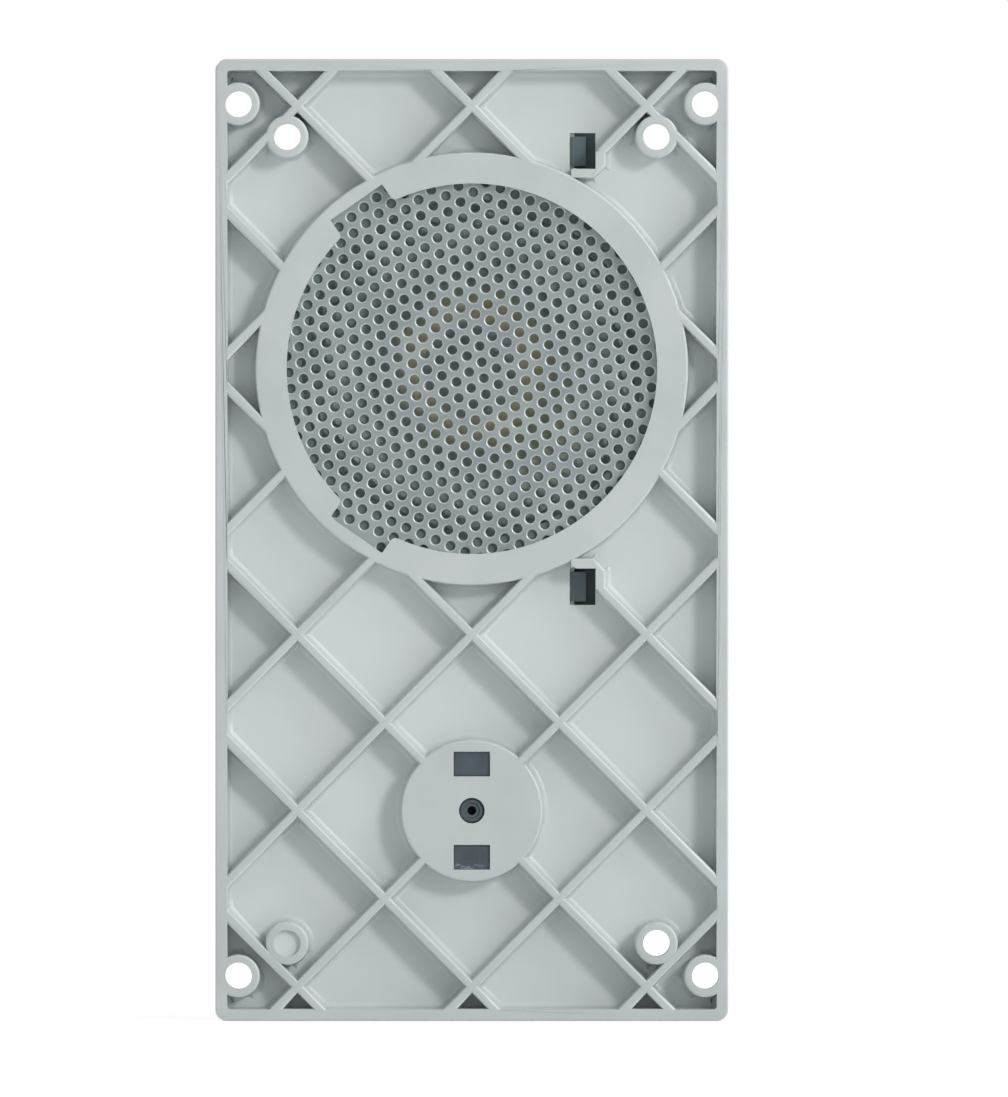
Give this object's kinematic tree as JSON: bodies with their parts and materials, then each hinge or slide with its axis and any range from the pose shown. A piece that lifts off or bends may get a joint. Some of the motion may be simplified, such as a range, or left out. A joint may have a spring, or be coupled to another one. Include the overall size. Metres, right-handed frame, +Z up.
{
  "type": "intercom audio module",
  "caption": "Build-in intercom speech unit: ribbed carrier plate with a loudspeaker behind a perforated disc, a microphone port, and rear electronics with a pull-off terminal.",
  "frame": {"origin": "centre of the corner hole pattern, on the front bearing face", "axes": "+X right as seen from the front, +Z up the long side, +Y from the front face to the rear"},
  "size_m": [0.08, 0.0298, 0.15],
  "materials": {
    "housing_grey": "fine spark-eroded moulded PC/ABS",
    "dark_plastic": "moulded polyamide, satin",
    "grille_steel": "perforated sheet steel, grey powder coat",
    "foam": "closed-cell foam",
    "film": "thermoformed polyester film",
    "dark_film": "thermoformed polyester film, dark",
    "copper_coil": "enamelled copper winding",
    "plated_steel": "zinc plated pressed steel",
    "ferrite": "sintered and ground ferrite",
    "phenolic": "paper phenolic board",
    "tin": "tinned metal",
    "mic_rubber": "moulded silicone rubber",
    "mic_can": "drawn aluminium can",
    "solder_mask": "epoxy glass with green solder mask",
    "chip_epoxy": "moulded epoxy",
    "white_nylon": "moulded polyamide, natural",
    "lead_jacket": "PVC insulated stranded wire",
    "terminal_green": "moulded polyamide, green",
    "screw_steel": "zinc plated steel",
    "contact_brass": "tinned brass",
    "rotor_white": "moulded acetal, white",
    "switch_red": "moulded red plastic",
    "housing_dark": "fine textured moulded ABS, dark grey",
    "ceramic_black": "ceramic chip bodies",
    "choke_ferrite": "ferrite core"
  },
  "bodies": {
    "carrier": {"front_plate": "housing_grey", "speaker_grille": "grille_steel", "grille_gasket": "foam", "speaker_surround": "film", "speaker_basket": "plated_steel", "top_washer": "plated_steel", "magnet": "ferrite", "yoke": "plated_steel", "tag_strip": "phenolic", "speaker_tags": "tin", "bowl_damping": "foam", "speaker_retainer": "dark_plastic", "mic_boot": "mic_rubber", "mic_capsule": "mic_can", "mic_holder": "dark_plastic", "mic_leads": "tin", "circuit_board": "solder_mask", "board_screws": "screw_steel", "amplifier_chip": "chip_epoxy", "controller_chip": "chip_epoxy", "capacitors": "mic_can", "choke": "choke_ferrite", "chip_resistors": "ceramic_black", "lead_socket": "white_nylon", "lead_plug": "white_nylon", "speaker_leads": "lead_jacket", "terminal_header": "terminal_green", "header_pins": "contact_brass", "volume_trimmer_base": "dark_plastic", "mic_trimmer_base": "dark_plastic", "dip_switch_body": "switch_red", "rear_housing": "housing_dark", "housing_screws": "screw_steel"},
    "diaphragm": {"speaker_cone": "film", "dust_cap": "dark_film", "voice_coil": "copper_coil"},
    "terminal_plug": {"terminal_plug": "terminal_green", "plug_contacts": "contact_brass"},
    "volume_rotor": {"volume_trimmer_rotor": "rotor_white"},
    "mic_rotor": {"mic_trimmer_rotor": "rotor_white"},
    "terminal_screw_1": {"terminal_screw_1": "screw_steel"},
    "terminal_clamp_1": {"terminal_clamp_1": "screw_steel"},
    "dip_slider_1": {"dip_slider_1": "rotor_white"},
    "terminal_screw_2": {"terminal_screw_2": "screw_steel"},
    "terminal_clamp_2": {"terminal_clamp_2": "screw_steel"},
    "dip_slider_2": {"dip_slider_2": "rotor_white"},
    "terminal_screw_3": {"terminal_screw_3": "screw_steel"},
    "terminal_clamp_3": {"terminal_clamp_3": "screw_steel"},
    "dip_slider_3": {"dip_slider_3": "rotor_white"},
    "terminal_screw_4": {"terminal_screw_4": "screw_steel"},
    "terminal_clamp_4": {"terminal_clamp_4": "screw_steel"},
    "dip_slider_4": {"dip_slider_4": "rotor_white"}
  },
  "joints": [
    {"name": "cone_travel", "type": "slide", "parent": "carrier", "child": "diaphragm", "axis": [0, 1, 0], "range_m": [-0.0005, 0.0005], "stiffness_N_per_m": 1000},
    {"name": "plug_pull", "type": "slide", "parent": "carrier", "child": "terminal_plug", "axis": [0, 1, 0], "range_m": [0, 0.009]},
    {"name": "volume_adjust", "type": "hinge", "parent": "carrier", "child": "volume_rotor", "pos_m": [0.008, 0.0256, -0.05], "axis": [0, -1, 0], "range_deg": [-135, 135]},
    {"name": "mic_adjust", "type": "hinge", "parent": "carrier", "child": "mic_rotor", "pos_m": [0.02, 0.0256, -0.05], "axis": [0, -1, 0], "range_deg": [-135, 135]},
    {"name": "terminal_turn_1", "type": "hinge", "parent": "terminal_plug", "child": "terminal_screw_1", "pos_m": [-0.0205, 0.0285, -0.0539], "axis": [0, -1, 0], "range_deg": [0, 961]},
    {"name": "clamp_lift_1", "type": "slide", "parent": "terminal_plug", "child": "terminal_clamp_1", "axis": [0, 1, 0], "range_m": [0, 0.0012]},
    {"name": "dip_slide_1", "type": "slide", "parent": "carrier", "child": "dip_slider_1", "axis": [1, 0, 0], "range_m": [0, 0.0016]},
    {"name": "terminal_turn_2", "type": "hinge", "parent": "terminal_plug", "child": "terminal_screw_2", "pos_m": [-0.0155, 0.0285, -0.0539], "axis": [0, -1, 0], "range_deg": [0, 961]},
    {"name": "clamp_lift_2", "type": "slide", "parent": "terminal_plug", "child": "terminal_clamp_2", "axis": [0, 1, 0], "range_m": [0, 0.0012]},
    {"name": "dip_slide_2", "type": "slide", "parent": "carrier", "child": "dip_slider_2", "axis": [1, 0, 0], "range_m": [0, 0.0016]},
    {"name": "terminal_turn_3", "type": "hinge", "parent": "terminal_plug", "child": "terminal_screw_3", "pos_m": [-0.0105, 0.0285, -0.0539], "axis": [0, -1, 0], "range_deg": [0, 961]},
    {"name": "clamp_lift_3", "type": "slide", "parent": "terminal_plug", "child": "terminal_clamp_3", "axis": [0, 1, 0], "range_m": [0, 0.0012]},
    {"name": "dip_slide_3", "type": "slide", "parent": "carrier", "child": "dip_slider_3", "axis": [1, 0, 0], "range_m": [0, 0.0016]},
    {"name": "terminal_turn_4", "type": "hinge", "parent": "terminal_plug", "child": "terminal_screw_4", "pos_m": [-0.0055, 0.0285, -0.0539], "axis": [0, -1, 0], "range_deg": [0, 961]},
    {"name": "clamp_lift_4", "type": "slide", "parent": "terminal_plug", "child": "terminal_clamp_4", "axis": [0, 1, 0], "range_m": [0, 0.0012]},
    {"name": "dip_slide_4", "type": "slide", "parent": "carrier", "child": "dip_slider_4", "axis": [1, 0, 0], "range_m": [0, 0.0016]}
  ],
  "couplings": [
    {"joint": "terminal_turn_1", "follows": "clamp_lift_1", "rad_per_m": 13963},
    {"joint": "terminal_turn_2", "follows": "clamp_lift_2", "rad_per_m": 13963},
    {"joint": "terminal_turn_3", "follows": "clamp_lift_3", "rad_per_m": 13963},
    {"joint": "terminal_turn_4", "follows": "clamp_lift_4", "rad_per_m": 13963}
  ]
}
